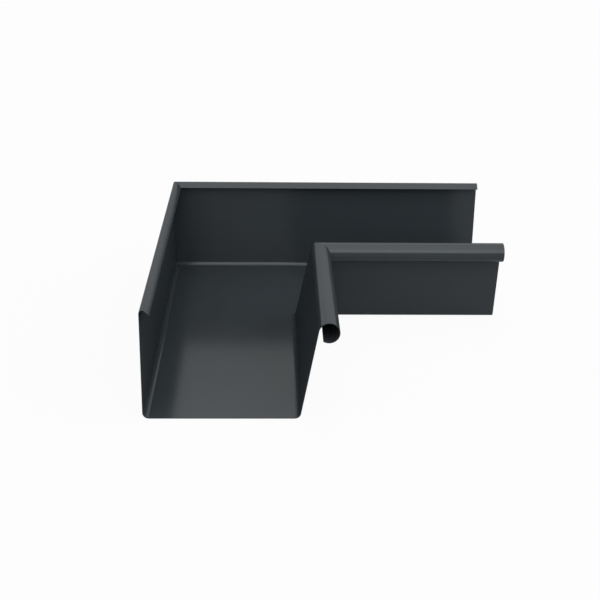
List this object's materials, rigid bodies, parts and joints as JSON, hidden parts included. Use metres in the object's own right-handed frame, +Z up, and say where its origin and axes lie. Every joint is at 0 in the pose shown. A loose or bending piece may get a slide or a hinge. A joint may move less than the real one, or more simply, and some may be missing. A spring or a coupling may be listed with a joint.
{
  "type": "internal gutter angle",
  "caption": "Internal corner for a box gutter: two equal mitred arms with an upright rear wall and water fold, a flat sole, a leaning front wall and a rolled bead.",
  "frame": {"origin": "on the underside of the sole, where the centre lines of the two arms' soles cross", "axes": "one arm runs along +X and the other along -Y, both to open ends at 242 mm; the rear walls' outer faces are at x = -60 mm and y = 60 mm; +Z up, out of the open channel"},
  "size_m": [0.302, 0.302, 0.0905],
  "materials": {
    "coated_steel": "semi-gloss dark grey coating"
  },
  "bodies": {
    "root": {"gutter_angle": "coated_steel"}
  },
  "joints": []
}
